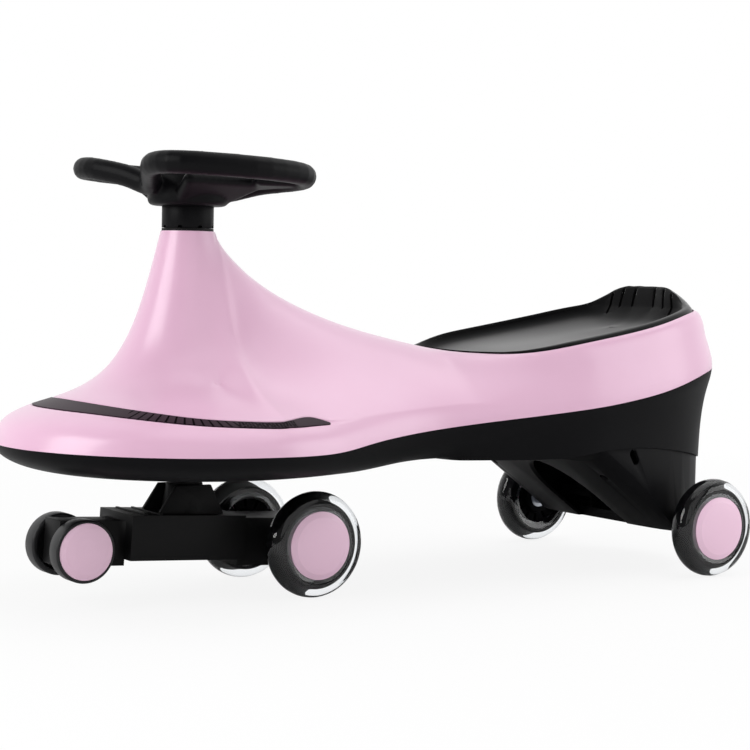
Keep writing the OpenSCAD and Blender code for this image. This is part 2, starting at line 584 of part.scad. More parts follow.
// Steering wheel: two-lobed yoke rim over a cup-shaped hub
sleeve_low = neck_z + flange_t + 0.5;
hub_low = neck_z + 23;
hub_top = hub_low + 29;
hub_r = 37.5;
rim_w = 9.5;
rim_h = 10.5;
rim_left = [[40, 0, -13], [52, 26, -5], [68, 62, 1], [58, 98, 2], [0, 118, 2], [-58, 103, 2], [-82, 67, 0],
    [-63, 25, -5], [-42, 0, -13]];
rim_key = concat(rim_left, [for (i = [len(rim_left) - 2:-1:1])
    [rim_left[i][0], -rim_left[i][1], rim_left[i][2]]]);
rim_rake = 0.044;
rim_mid = hub_low + 30;
keys = len(rim_key);
per_key = 4;
function rim_raw(i, t) = spline(rim_key[(i + keys - 1) % keys], rim_key[i % keys], rim_key[(i + 1) % keys],
    rim_key[(i + 2) % keys], t);
rim_path = [for (i = [0:keys - 1], k = [0:per_key - 1]) let(p = rim_raw(i, k / per_key)) [col_x + p[0],
    p[1], rim_mid + p[2] + rim_rake * p[0]]];
rim_sides = 12;
function rim_loop(i) = let(n = len(rim_path), p = rim_path[i],
    d = unit(rim_path[(i + 1) % n] - rim_path[(i + n - 1) % n]),
    s = unit(cross(d, [0, 0, 1])), u = cross(s, d))
    [for (k = [0:rim_sides - 1]) let(a = 360 * k / rim_sides) p + s * cos(a) * rim_w + u * sin(a) * rim_h];
module rim_ring() {
    n = len(rim_path);
    pts = [for (i = [0:n - 1]) each rim_loop(i)];
    function id(i, k) = (i % n) * rim_sides + k % rim_sides;
    polyhedron(pts, [for (i = [0:n - 1], k = [0:rim_sides - 1]) each quad(id(i, k), id(i, k + 1), id(i + 1,
        k + 1), id(i + 1, k))], convexity = 8);
}
// the hub sits on a flat of the shaft and is held by a nut in a well under the cap
well_z = hub_low + 14;
well_r = 16;
shaft_flat = 5.5;
shaft_top = hub_low + 25.2;
module flat_bore(r, x, low, high) {
    intersection() {
        translate([0, 0, low]) cylinder(r = r, h = high - low);
        translate([-r - 1, -r - 1, low]) cube([r + 1 + x, 2 * r + 2, high - low]);
    }
}
// broad web from the hub up to the rim: points at the hub, at the knee and on the rim
web_hub = [[20, 26], [-28, 18]];
web_knee = [[26, 52], [-54, 38]];
web_rim = [[-79, 66], [-44, 58]];
module web(low, low_z, high, high_z) {
    hull() {
        for (p = low) translate([p[0], p[1], low_z]) sphere(r = 7, $fn = 12);
        for (p = high) translate([p[0], p[1], high_z]) sphere(r = 6, $fn = 12);
    }
}
module steering_wheel() {
    color(black) difference() {
        union() {
            rim_ring();
            translate([col_x, 0, 0]) rotate_extrude() polygon([[0, hub_low], [hub_r - 5, hub_low],
                [hub_r - 1.5, hub_low + 1.5], [hub_r, hub_low + 5], [hub_r, hub_low + 18],
                [hub_r - 4, hub_top], [0, hub_top]]);
            for (s = [0, 1]) translate([col_x, 0, 0]) mirror([0, s, 0]) {
                web(web_hub, hub_low + 9, web_knee, rim_mid - 7);
                web([web_knee[1]], rim_mid - 7, web_rim, rim_mid - 5);
            }
        }
        translate([col_x, 0, 0]) {
            flat_bore(shaft_r + run, shaft_flat + run, hub_low - 1, well_z + 1);
            translate([0, 0, well_z]) cylinder(r = well_r, h = 20);
            translate([0, 0, hub_top - 3]) cylinder(r = 30.3, h = 10);
        }
    }
}
module steering_cap() {
    color(black) translate([col_x, 0, 0]) rotate_extrude() polygon([[0, hub_top - 3], [30, hub_top - 3],
        [30, hub_top],
        for (a = [0:15:90]) [28 * cos(a) + 1 * (a < 90 ? 1 : 0), hub_top + 3 * sin(a)]]);
}
module column_sleeve() {
    color(black) translate([col_x, 0, 0]) difference() {
        rotate_extrude() polygon([[shaft_r + run, neck_z - 30], [stem_r, neck_z - 30], [stem_r,
            sleeve_low], [neck_r - 1, sleeve_low],
            [neck_r - 1, hub_low], [shaft_r + run, hub_low]]);
        for (a = [0:45:315]) rotate(a) translate([stem_r + 1, -2, sleeve_low - 1]) cube([12, 4, 3]);
    }
}
shaft_low = 54;
module steering_shaft() {
    color(steel) translate([col_x, 0, 0]) union() {
        translate([0, 0, shaft_low]) cylinder(r = shaft_r, h = hub_low - shaft_low);
        flat_bore(shaft_r, shaft_flat, hub_low - 0.5, shaft_top);
    }
}
module wheel_washer() {
    color(steel) translate([col_x, 0, well_z]) washer(shaft_r + run, 14, 1.6);
}
module wheel_nut() {
    color(steel) translate([col_x, 0, well_z + 1.6]) difference() {
        cylinder(r = 13.5, h = 8.4, $fn = 6);
        translate([0, 0, -1]) cylinder(r = shaft_r + run, h = 12);
    }
}

// Bogie: raked, ribbed carrier that turns with the steering wheel
rake = 3.2;
tower_top = 106;
nut_flat = 66;
box_front = 74;
box_rear = -43;
box_low = 37.6;
box_top = 78.8;
arm_low = 31;
arm_top = 72;
arm_end = guide_lead + 21;
guide_w = 18;
arm_half = guide_track / 2 - guide_w / 2 - 1.5;
arm_fillet = 10;
tail_top = 76;
tail_end = -front_trail - 15;
skin_t = 3;
// open-bottomed box: x from a to b, half width w, z from low to top
module pan(a, b, w, low, top) {
    difference() {
        translate([a, -w, low]) cube([b - a, 2 * w, top - low]);
        translate([a + skin_t, -w + skin_t, low - 1])
            cube([b - a - 2 * skin_t, 2 * (w - skin_t), top - low - skin_t + 1]);
    }
}
module bogie_frame() {
    color(black) translate([col_x, 0, 0]) difference() {
        union() {
            rotate([0, -rake, 0]) {
                pan(box_rear, box_front, 34, box_low, box_top);
                pan(box_front - skin_t, arm_end, arm_half, arm_low, arm_top);
                for (s = [0, -90])
                    translate([box_front - 0.5, s < 0 ? 0.5 - arm_half : arm_half - 0.5, box_low])
                    rotate(s) linear_extrude(arm_top - box_low) difference() {
                        square(arm_fillet);
                        translate([arm_fillet, arm_fillet]) circle(r = arm_fillet);
                    }
                pan(tail_end, box_rear + skin_t, 28, arm_low, tail_top);
                for (x = [-26, 26, 48]) translate([x, -33, box_low + 10])
                    cube([2.4, 66, box_top - box_low - 12]);
                for (x = [84, 128]) translate([x, 1.5 - arm_half, arm_low + 12])
                    cube([2.4, 2 * arm_half - 3, arm_top - arm_low - 14]);
                for (x = [42, 58]) translate([x, -30, box_top - 1]) cube([2.4, 60, 2.2]);
            }
            cylinder(r = 17, h = tower_top);
            translate([0, 0, box_top - 1]) cylinder(r1 = 22, r2 = 17, h = tower_top - box_top + 1);
            for (y = [-17, 17]) translate([0, y + 2, 0]) rotate([90, 0, 0]) linear_extrude(4)
                polygon([[-31, 72], [34, 76], [34, 82], [18, tower_top - 1], [-18, tower_top - 1],
                    [-31, 79]]);
            translate([-front_trail, 0, axle_z]) rotate([90, 0, 0])
                cylinder(r = 10, h = 2 * (front_track / 2 - 20), center = true);
            translate([guide_lead, 0, guide_z]) rotate([90, 0, 0])
                cylinder(r = 7, h = guide_track - 21, center = true);
        }
        translate([0, 0, -1]) cylinder(r = shaft_r + run, h = 200);
        translate([0, 0, -1]) cylinder(r = 18, h = nut_flat + 1);
        translate([-front_trail, 0, axle_z]) rotate([90, 0, 0])
            cylinder(r = axle_d / 2 + run, h = 300, center = true);
        translate([guide_lead, 0, guide_z]) rotate([90, 0, 0])
            cylinder(r = guide_axle_r + run, h = 300, center = true);
    }
}
module thrust_washer() {
    color(steel) translate([col_x, 0, tower_top]) washer(shaft_r + run, 14, boss_low - 2 - gap - tower_top);
}
module shaft_washer() {
    color(steel) translate([col_x, 0, nut_flat - 1.6]) washer(shaft_r + run, 14, 1.6);
}
module shaft_nut() {
    color(steel) translate([col_x, 0, nut_flat - 10]) difference() {
        cylinder(r = 13.5, h = 8.4, $fn = 6);
        translate([0, 0, -1]) cylinder(r = shaft_r + run, h = 12);
    }
}
module washer(bore, r, t) {
    difference() {
        cylinder(r = r, h = t);
        translate([0, 0, -1]) cylinder(r = bore, h = t + 2);
    }
}

// Axles along Y with chamfered ends
module axle(r, half) {
    rotate([90, 0, 0]) rotate_extrude() polygon([[0, -half], [r - 0.8, -half], [r, -half + 0.8], [r,
        half - 0.8], [r - 0.8, half], [0, half]]);
}
axle_over = 13;
guide_axle_r = 3;
nut_in = 10.2;
module front_axle() {
    color(steel) translate([front_x, 0, axle_z]) axle(axle_d / 2, front_track / 2 + axle_over);
}
module rear_axle() {
    color(steel) translate([rear_x, 0, axle_z]) axle(axle_d / 2, rear_track / 2 + axle_over);
}
module guide_axle() {
    color(steel) translate([guide_x, 0, guide_z]) axle(guide_axle_r, guide_track / 2 + 6.5);
}
// stands the children on both sides of the car, local Z outward, origin at y = d
module sides(x, d, z) {
    for (s = [-1, 1]) translate([x, s * d, z]) rotate([-90 * s, 0, 0]) children();
}
module nut() {
    difference() {
        cylinder(r = 7, h = 2.8, $fn = 6);
        translate([0, 0, -1]) cylinder(r = axle_d / 2 + run, h = 6);
    }
}
module front_axle_nuts() {
    color(steel) sides(front_x, front_track / 2 + nut_in, axle_z) nut();
}
module rear_axle_nuts() {
    color(steel) sides(rear_x, rear_track / 2 + nut_in, axle_z) nut();
}
module guide_clips() {
    color(steel) sides(guide_x, guide_track / 2 + 4.3, guide_z) washer(guide_axle_r + run, 6, 1.6);
}
module front_spacers() {
    color(steel) sides(front_x, front_track / 2 - 20, axle_z) washer(axle_d / 2 + run, 7, 10 - 0.2);
}
module rear_spacers() {
    color(steel) sides(rear_x, rear_hub, axle_z)
        washer(axle_d / 2 + run, 7, rear_track / 2 - rear_gap - rear_hub);
}

// Light-up wheel, local Z outward, origin in its mid-plane
wheel_r = wheel_d / 2;
core_r = wheel_r - 6.5;
cap_r = cap_d / 2;
bear_r = 11;
core_w = 10;
module wheel_core() {
    difference() {
        rotate_extrude() polygon([[bear_r + run, -core_w], [17, -core_w], [19, -3], [core_r - 8, -3],
            [core_r - 7, -core_w], [core_r - 1, -core_w], [core_r, 1 - core_w], [core_r, 5],
            [core_r - 2.5, core_w], [core_r - 7, core_w], [core_r - 8, 3], [19, 3], [17, core_w],
            [bear_r + run, core_w], [bear_r + run, 3], [9, 3], [9, -3], [bear_r + run, -3]]);
        for (a = [0:30:330]) rotate(a) translate([20, -1.6, -6]) cube([8.5, 3.2, 12]);
    }
}
module wheel_tyre() {
    h = tyre_w / 2;
    w = core_w + run;
    rotate_extrude() polygon(concat([[core_r - 1 + run, -w], [core_r + run, 1 - w], [core_r + run, 5],
        [core_r - 2.5 + run, w], [cap_r + 0.4, w], [cap_r + 0.4, h - 1]],
        [for (a = [90:-15:-90]) [wheel_r - h + h * pow(cos(a), 0.8), h * sin(a)]],
        [[cap_r + 0.4, 1 - h], [cap_r + 0.4, -w]]));
}
module wheel_cap() {
    rotate_extrude() polygon(concat([[cap_r - 2, 3], [cap_r, 3], [cap_r, 11.6]],
        [for (k = [1:6]) [cap_r * (1 - k / 6), 11.6 + 4 * sin(90 * sqrt(k / 6))]], [[0, 13.6], [8.5, 13.6],
        [cap_r - 2, 10.5]]));
}
module wheel_bearings() {
    for (z = [3, -core_w]) translate([0, 0, z]) rotate_extrude() polygon([[axle_d / 2 + run, 0], [bear_r,
        0], [bear_r, 7], [9.4, 7],
        [9.2, 6.4], [6.2, 6.4], [6, 7], [axle_d / 2 + run, 7]]);
}
module wheel_sleeve() {
    translate([0, 0, -3]) washer(axle_d / 2 + run, 7, 6);
}
// places a wheel piece: s = 1 on the left, -1 on the right
module at_front(s) {
    translate([front_x, s * front_track / 2, axle_z]) rotate([-90 * s, 0, 0]) children();
}
module at_rear(s) {
    translate([rear_x, s * rear_track / 2, axle_z]) rotate([-90 * s, 0, 0]) children();
}
module at_guide(s) {
    translate([guide_x, s * guide_track / 2, guide_z]) rotate([-90 * s, 0, 0]) children();
}
guide_r = guide_d / 2;
guide_cap_r = guide_r - 3;
module guide_wheel() {
    h = guide_w / 2;
    rotate_extrude() polygon([[guide_axle_r + run, -h], [8, -h], [10, -2], [guide_r - 7, -2], [guide_r - 5,
        -h], [guide_r - 1.5, -h],
        [guide_r, 1.5 - h], [guide_r, h - 1.5], [guide_r - 1.5, h], [guide_cap_r + 0.4, h],
            [guide_cap_r + 0.4, 4], [guide_axle_r + run, 4]]);
}
module guide_cap() {
    rotate_extrude() polygon([[guide_cap_r - 2, 4], [guide_cap_r, 4], [guide_cap_r, 8.6],
        [guide_cap_r * 0.8, 9.9], [guide_cap_r * 0.45, 10.8],
        [0, 11.1], [0, 7.4], [guide_cap_r - 2, 7.2]]);
}
module front_left_core() {
    color(black) at_front(1) wheel_core();
}
module front_left_tyre() {
    color(clear) at_front(1) wheel_tyre();
}
module front_left_cap() {
    color(pink) at_front(1) wheel_cap();
}
module front_left_bearings() {
    color(steel) at_front(1) wheel_bearings();
}
module front_left_sleeve() {
    color(steel) at_front(1) wheel_sleeve();
}
module front_right_core() {
    color(black) at_front(-1) wheel_core();
}
module front_right_tyre() {
    color(clear) at_front(-1) wheel_tyre();
}
module front_right_cap() {
    color(pink) at_front(-1) wheel_cap();
}
module front_right_bearings() {
    color(steel) at_front(-1) wheel_bearings();
}
module front_right_sleeve() {
    color(steel) at_front(-1) wheel_sleeve();
}
module rear_left_core() {
    color(black) at_rear(1) wheel_core();
}
module rear_left_tyre() {
    color(clear) at_rear(1) wheel_tyre();
}
module rear_left_cap() {
    color(pink) at_rear(1) wheel_cap();
}
module rear_left_bearings() {
    color(steel) at_rear(1) wheel_bearings();
}
module rear_left_sleeve() {
    color(steel) at_rear(1) wheel_sleeve();
}
module rear_right_core() {
    color(black) at_rear(-1) wheel_core();
}
module rear_right_tyre() {
    color(clear) at_rear(-1) wheel_tyre();
}
module rear_right_cap() {
    color(pink) at_rear(-1) wheel_cap();
}
module rear_right_bearings() {
    color(steel) at_rear(-1) wheel_bearings();
}
module rear_right_sleeve() {
    color(steel) at_rear(-1) wheel_sleeve();
}
module guide_left_wheel() {
    color(black) at_guide(1) guide_wheel();
}
module guide_left_cap() {
    color(pink) at_guide(1) guide_cap();
}
module guide_right_wheel() {
    color(black) at_guide(-1) guide_wheel();
}
module guide_right_cap() {
    color(pink) at_guide(-1) guide_cap();
}

body_shell();
base_tray();
rear_axle_housing();
seat();
front_trim();
upper_bush();
lower_bush();
shell_screws();
seat_screws();
housing_screws();
steering_wheel();
steering_cap();
column_sleeve();
steering_shaft();
wheel_washer();
wheel_nut();
bogie_frame();
thrust_washer();
shaft_washer();
shaft_nut();
front_axle();
front_axle_nuts();
front_spacers();
guide_axle();
guide_clips();
rear_axle();
rear_axle_nuts();
rear_spacers();
front_left_core();
front_left_tyre();
front_left_cap();
front_left_bearings();
front_left_sleeve();
front_right_core();
front_right_tyre();
front_right_cap();
front_right_bearings();
front_right_sleeve();
rear_left_core();
rear_left_tyre();
rear_left_cap();
rear_left_bearings();
rear_left_sleeve();
rear_right_core();
rear_right_tyre();
rear_right_cap();
rear_right_bearings();
rear_right_sleeve();
guide_left_wheel();
guide_left_cap();
guide_right_wheel();
guide_right_cap();
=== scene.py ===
"""Dresses the wiggle car: smooth moulded skins, clear light-up wheels, and a plain white studio."""

import json
import logging
import math
from dataclasses import dataclass
from enum import Enum
from typing import Any, Optional, Sequence, Union

import bpy
from mathutils import Matrix, Vector

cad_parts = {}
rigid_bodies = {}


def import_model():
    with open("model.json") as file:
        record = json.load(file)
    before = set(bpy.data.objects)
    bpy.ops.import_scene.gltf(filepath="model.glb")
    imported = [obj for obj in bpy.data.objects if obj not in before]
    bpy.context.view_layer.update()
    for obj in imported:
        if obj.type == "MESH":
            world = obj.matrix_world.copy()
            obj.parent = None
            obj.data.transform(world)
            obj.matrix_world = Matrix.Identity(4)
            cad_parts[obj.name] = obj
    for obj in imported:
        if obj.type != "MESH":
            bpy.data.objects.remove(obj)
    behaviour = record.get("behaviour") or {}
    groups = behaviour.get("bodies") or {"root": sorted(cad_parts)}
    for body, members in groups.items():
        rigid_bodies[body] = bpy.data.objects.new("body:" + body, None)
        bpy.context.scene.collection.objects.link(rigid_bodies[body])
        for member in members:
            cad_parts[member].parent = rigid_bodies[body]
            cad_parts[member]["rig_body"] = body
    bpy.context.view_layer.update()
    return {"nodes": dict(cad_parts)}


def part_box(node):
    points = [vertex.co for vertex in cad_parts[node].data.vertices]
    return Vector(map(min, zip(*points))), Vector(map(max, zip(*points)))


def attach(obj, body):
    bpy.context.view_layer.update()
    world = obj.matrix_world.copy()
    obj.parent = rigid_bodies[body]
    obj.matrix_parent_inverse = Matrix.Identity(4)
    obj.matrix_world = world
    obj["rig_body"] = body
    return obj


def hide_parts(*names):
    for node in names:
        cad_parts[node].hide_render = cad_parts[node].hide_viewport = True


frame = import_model()

LOG = logging.getLogger("wiggle_car")
MM = 0.001
COLUMN_X = sum(corner.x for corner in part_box("steering_shaft")) / 2

Colour = tuple[float, float, float, float]
Socket = bpy.types.NodeSocket
Value = Union[float, tuple, Socket]


def linear(hex_colour: str) -> Colour:
    """Turns an sRGB hex colour into linear light.

    Args:
        hex_colour: six hex digits after a hash.

    Returns:
        Linear red, green and blue with full alpha.
    """
    parts = [int(hex_colour[i : i + 2], 16) / 255 for i in (1, 3, 5)]
    red, green, blue = (p / 12.92 if p <= 0.04045 else ((p + 0.055) / 1.055) ** 2.4 for p in parts)
    return red, green, blue, 1.0


def add_node(tree: bpy.types.NodeTree, kind: str, inputs: Optional[dict] = None, **settings: Any) -> bpy.types.Node:
    """Adds one node with its settings, its socket values and its links.

    Args:
        tree: the tree that gets the node.
        kind: Blender's name of the node type.
        inputs: socket name or index to a constant or to another node's output.
        **settings: the node's own properties.

    Returns:
        The new node.
    """
    node = tree.nodes.new(kind)
    for name, value in settings.items():
        setattr(node, name, value)
    for key, value in (inputs or {}).items():
        if isinstance(value, bpy.types.NodeSocket):
            tree.links.new(value, node.inputs[key])
        else:
            node.inputs[key].default_value = value
    return node


def mix_colours(tree: bpy.types.NodeTree, factor: Socket, first: str, second: str) -> Socket:
    """Mixes two colours by a factor.

    Args:
        tree: the tree that gets the node.
        factor: 0 for the first colour, 1 for the second.
        first: sRGB hex colour.
        second: sRGB hex colour.

    Returns:
        The mixed colour.
    """
    node = add_node(tree, "ShaderNodeMix", {"Factor": factor}, data_type="RGBA", blend_type="MIX")
    for socket in node.inputs:
        if socket.type == "RGBA":
            socket.default_value = linear(first if socket.identifier.startswith("A") else second)
    return node.outputs[2]


def per_mm(size_mm: float) -> float:
    """Texture scale at which one cell of a pattern is size_mm wide."""
    return 1000.0 / size_mm


def ramp(value: float, start: float, end: float) -> float:
    """Rises from 0 at start to 1 at end, and stays there."""
    return min(1.0, max(0.0, (value - start) / (end - start)))


class Grain(Enum):
    """How the mould left the surface."""

    POLISHED = "polished"
    SPARK = "spark eroded"
    PEBBLE = "pebble grained"


@dataclass(frozen=True)
class MouldedPlastic:
    """Injection-moulded polypropylene, from polished gloss to a fine eroded grain."""

    name: str
    colour: str
    shade: str
    roughness: float
    grain: Grain
    grain_mm: float
    bump_mm: float
    coat: float = 0.0
    specular: float = 0.5
    coat_roughness: float = 0.2
    sheen: float = 0.0

    def material(self) -> bpy.types.Material:
        """Builds the plastic: slow flow marks in its colour, a grain in its gloss and relief.

        Returns:
            The finished material.
        """
        made = bpy.data.materials.new(self.name)
        made.use_nodes = True
        tree = made.node_tree
        shader = tree.nodes["Principled BSDF"]
        place = add_node(tree, "ShaderNodeTexCoord").outputs["Object"]
        # flow marks: a slow, faint drift of tone where the melt ran, about 60 mm across
        flow = add_node(tree, "ShaderNodeTexNoise", {"Vector": place, "Scale": per_mm(60), "Detail": 2.0})
        tint = mix_colours(tree, flow.outputs["Fac"], self.colour, self.shade)
        tree.links.new(tint, shader.inputs["Base Color"])
        if self.grain is Grain.PEBBLE:
            relief = add_node(tree, "ShaderNodeTexVoronoi", {"Vector": place, "Scale": per_mm(self.grain_mm)})
            height = relief.outputs["Distance"]
        else:
            relief = add_node(
                tree, "ShaderNodeTexNoise", {"Vector": place, "Scale": per_mm(self.grain_mm), "Detail": 3.0}
            )
            height = relief.outputs["Fac"]
        rough = add_node(
            tree,
            "ShaderNodeMapRange",
            {
                "Value": flow.outputs["Fac"],
                "From Min": 0.1,
                "From Max": 0.9,
                "To Min": self.roughness * 0.9,
                "To Max": self.roughness * 1.12,
            },
        )
        tree.links.new(rough.outputs["Result"], shader.inputs["Roughness"])
        bump = add_node(tree, "ShaderNodeBump", {"Height": height, "Distance": self.bump_mm * MM, "Strength": 1.0})
        tree.links.new(bump.outputs["Normal"], shader.inputs["Normal"])
        shader.inputs["IOR"].default_value = 1.49
        shader.inputs["Specular IOR Level"].default_value = self.specular
        shader.inputs["Coat Weight"].default_value = self.coat
        shader.inputs["Coat Roughness"].default_value = self.coat_roughness
        shader.inputs["Sheen Weight"].default_value = self.sheen
        shader.inputs["Sheen Roughness"].default_value = 0.32
        return made


@dataclass(frozen=True)
class TrimPlastic:
    """Satin dark inlay with a fan of grooves that thins out into dots."""

    name: str = "satin_inlay_plastic"
    colour: str = "#33252e"
    groove: str = "#0a0709"
    roughness: float = 0.42
    fan_mid: float = 61.8
    low_step: float = 3.34
    high_step: float = 2.86
    dash_from: float = 40.6
    dash_to: float = 81.0
    dot_to: float = 103.0
    dot_step: float = 1.25

    def material(self) -> bpy.types.Material:
        """Builds the inlay: its marks follow the angle round the column and the share across the band.

        Returns:
            The finished material.
        """
        made = bpy.data.materials.new(self.name)
        made.use_nodes = True
        tree = made.node_tree
        shader = tree.nodes["Principled BSDF"]
        place = add_node(tree, "ShaderNodeTexCoord").outputs["Object"]
        centred = add_node(
            tree, "ShaderNodeVectorMath", {0: place, 1: (COLUMN_X, 0.0, 0.0)}, operation="SUBTRACT"
        ).outputs["Vector"]
        parts = add_node(tree, "ShaderNodeSeparateXYZ", {"Vector": centred})
        across = add_node(tree, "ShaderNodeAttribute", attribute_name="across").outputs["Fac"]

        def step(operation: str, a: Value, b: Value) -> Socket:
            """One arithmetic step on two values."""
            return add_node(tree, "ShaderNodeMath", {0: a, 1: b}, operation=operation).outputs["Value"]

        side = step("ABSOLUTE", parts.outputs["Y"], 0.0)
        turn = step("MULTIPLY", step("ARCTAN2", side, parts.outputs["X"]), 180 / math.pi)
        begun = step("GREATER_THAN", turn, self.dash_from)
        late = step("GREATER_THAN", turn, self.dash_to)
        # grooves: a fan that leans forward at its front and back at its end
        pitch = step("ADD", step("MULTIPLY", across, self.high_step - self.low_step), self.low_step)
        count = step("ADD", step("DIVIDE", step("SUBTRACT", turn, self.fan_mid), pitch), 20.5)
        off = step("ABSOLUTE", step("SUBTRACT", step("FRACT", count, 0.0), 0.5), 0.0)
        line = step("LESS_THAN", off, 0.12)
        dashes = step("MULTIPLY", step("MULTIPLY", line, begun), step("SUBTRACT", 1.0, late))
        # dots: small round pits in staggered rows
        spread = add_node(
            tree,
            "ShaderNodeCombineXYZ",
            {"X": step("DIVIDE", turn, self.dot_step), "Y": step("MULTIPLY", across, 6.0)},
        ).outputs["Vector"]
        cells = add_node(
            tree,
            "ShaderNodeTexVoronoi",
            {"Vector": spread, "Scale": 1.0, "Randomness": 0.3},
            voronoi_dimensions="2D",
        ).outputs["Distance"]
        dots = step("MULTIPLY", step("LESS_THAN", cells, 0.4), step("LESS_THAN", turn, self.dot_to))
        marks = step("MAXIMUM", dashes, step("MULTIPLY", dots, late))
        paint_mix = mix_colours(tree, marks, self.colour, self.groove)
        tree.links.new(paint_mix, shader.inputs["Base Color"])
        grain = add_node(tree, "ShaderNodeTexNoise", {"Vector": place, "Scale": per_mm(0.8), "Detail": 2.0})
        height = step("SUBTRACT", step("MULTIPLY", grain.outputs["Fac"], 0.15), marks)
        bump = add_node(tree, "ShaderNodeBump", {"Height": height, "Distance": 0.3 * MM, "Strength": 0.8})
        tree.links.new(bump.outputs["Normal"], shader.inputs["Normal"])
        shader.inputs["Roughness"].default_value = self.roughness
        shine = step("SUBTRACT", 0.1, step("MULTIPLY", marks, 0.09))
        tree.links.new(shine, shader.inputs["Specular IOR Level"])
        shader.inputs["IOR"].default_value = 1.49
        return made


@dataclass(frozen=True)
class ClearPolyurethane:
    """Cast clear polyurethane of a light-up wheel: bends light like acrylic, faintly smoky."""

    name: str = "clear_cast_polyurethane"
    tint: str = "#f4f6f8"
    roughness: float = 0.0

    def material(self) -> bpy.types.Material:
        """Builds the clear tyre with faint flow lines from casting.

        Returns:
            The finished material.
        """
        made = bpy.data.materials.new(self.name)
        made.use_nodes = True
        tree = made.node_tree
        shader = tree.nodes["Principled BSDF"]
        place = add_node(tree, "ShaderNodeTexCoord").outputs["Object"]
        swirl = add_node(tree, "ShaderNodeTexNoise", {"Vector": place, "Scale": per_mm(14), "Detail": 1.0})
        bump = add_node(
            tree, "ShaderNodeBump", {"Height": swirl.outputs["Fac"], "Distance": 0.2 * MM, "Strength": 0.3}
        )
        tree.links.new(bump.outputs["Normal"], shader.inputs["Normal"])
        shader.inputs["Base Color"].default_value = linear(self.tint)
        shader.inputs["Transmission Weight"].default_value = 1.0
        shader.inputs["Roughness"].default_value = self.roughness
        shader.inputs["IOR"].default_value = 1.49
        return made


@dataclass(frozen=True)
class PlatedSteel:
    """Zinc-plated turned steel of the axles, nuts and screws."""

    name: str = "zinc_plated_steel"
    colour: str = "#b9bcc2"
    shade: str = "#8f949c"
    roughness: float = 0.32

    def material(self) -> bpy.types.Material:
        """Builds the plated steel with fine spangle.

        Returns:
            The finished material.
        """
        made = bpy.data.materials.new(self.name)
        made.use_nodes = True
        tree = made.node_tree
        shader = tree.nodes["Principled BSDF"]
        place = add_node(tree, "ShaderNodeTexCoord").outputs["Object"]
        spangle = add_node(tree, "ShaderNodeTexNoise", {"Vector": place, "Scale": per_mm(1.5), "Detail": 3.0})
        tone = mix_colours(tree, spangle.outputs["Fac"], self.colour, self.shade)
        tree.links.new(tone, shader.inputs["Base Color"])
        shader.inputs["Metallic"].default_value = 1.0
        shader.inputs["Roughness"].default_value = self.roughness
        return made


@dataclass(frozen=True)
class Palette:
    """Every finish of the car, made once."""

    pink: bpy.types.Material
    cap_pink: bpy.types.Material
    base_black: bpy.types.Material
    seat_black: bpy.types.Material
    grip_black: bpy.types.Material
    frame_black: bpy.types.Material
    core_black: bpy.types.Material
    tread_black: bpy.types.Material
    inlay: bpy.types.Material
    clear: bpy.types.Material
    steel: bpy.types.Material

    @staticmethod
    def mixed() -> "Palette":
        """Makes all the materials."""
        return Palette(
            # polished gloss: clean pink with soft white bands where the boxes mirror in it
            pink=MouldedPlastic(
                "gloss_pink_polypropylene", "#e9bdd7", "#e5b7d1", 0.3, Grain.POLISHED, 9.0, 0.012, 0.35
            ).material(),
            # satin caps: the same pink a little deeper, without the mirror bands
            cap_pink=MouldedPlastic(
                "satin_pink_polypropylene", "#f5cfe5", "#f1c9df", 0.36, Grain.SPARK, 0.9, 0.01
            ).material(),
            # eroded satin: near-black flanks that only lighten at grazing edges
            base_black=MouldedPlastic(
                "satin_black_polypropylene", "#0b0b0d", "#0e0e10", 0.46, Grain.SPARK, 1.1, 0.03, 0.0, 0.06
            ).material(),
            # pebble grain: dark walls and a grey sheen across the flat of the dish
            seat_black=MouldedPlastic(
                "grained_black_seat_polypropylene",
                "#0c0c0d",
                "#101011",
                roughness=0.5,
                grain=Grain.PEBBLE,
                grain_mm=1.8,
                bump_mm=0.03,
                specular=0.06,
                sheen=0.85,
            ).material(),
            # grip: soft black with a broad dull highlight along the bars
            grip_black=MouldedPlastic(
                "soft_black_grip_plastic", "#09090b", "#0c0c0e", 0.42, Grain.SPARK, 0.9, 0.02, 0.0, 0.09
            ).material(),
            # frame: the dullest black, hardly any highlight
            frame_black=MouldedPlastic(
                "matt_black_frame_plastic", "#0a0a0b", "#0d0d0e", 0.5, Grain.SPARK, 1.1, 0.05, 0.0, 0.16
            ).material(),
            # core: deep dull black seen through the clear tyre, which alone gives the shine
            core_black=MouldedPlastic(
                "matt_black_core_plastic", "#060608", "#09090b", 0.6, Grain.SPARK, 1.2, 0.01, 0.0, 0.03
            ).material(),
            # guide wheels: satin black treads
            tread_black=MouldedPlastic(
                "black_guide_wheel_plastic", "#131315", "#19191b", 0.38, Grain.SPARK, 1.0, 0.03, 0.0, 0.35
            ).material(),
            inlay=TrimPlastic().material(),
            clear=ClearPolyurethane().material(),
            steel=PlatedSteel().material(),
        )


class Skin(Enum):
    """How a copied moulding is refined."""

    SWEPT = "swept skin, subdivided smooth"
    EDGED = "flat-sided moulding with rounded edges"
    FUSED = "pieces flowed into one moulding with soft inner corners"


def paint(piece: bpy.types.Object, finish: bpy.types.Material) -> None:
    """Puts one finish on all of a piece's slots."""
    if not piece.material_slots:
        piece.data.materials.append(finish)
    for slot in piece.material_slots:
        slot.material = finish


def keep_node(node: str, finish: bpy.types.Material) -> bpy.types.Object:
    """Shows a CAD node as it is, in a new finish.

    Args:
        node: the node's name.
        finish: its material.

    Returns:
        The node's object.
    """
    piece = frame["nodes"][node]
    paint(piece, finish)
    return piece


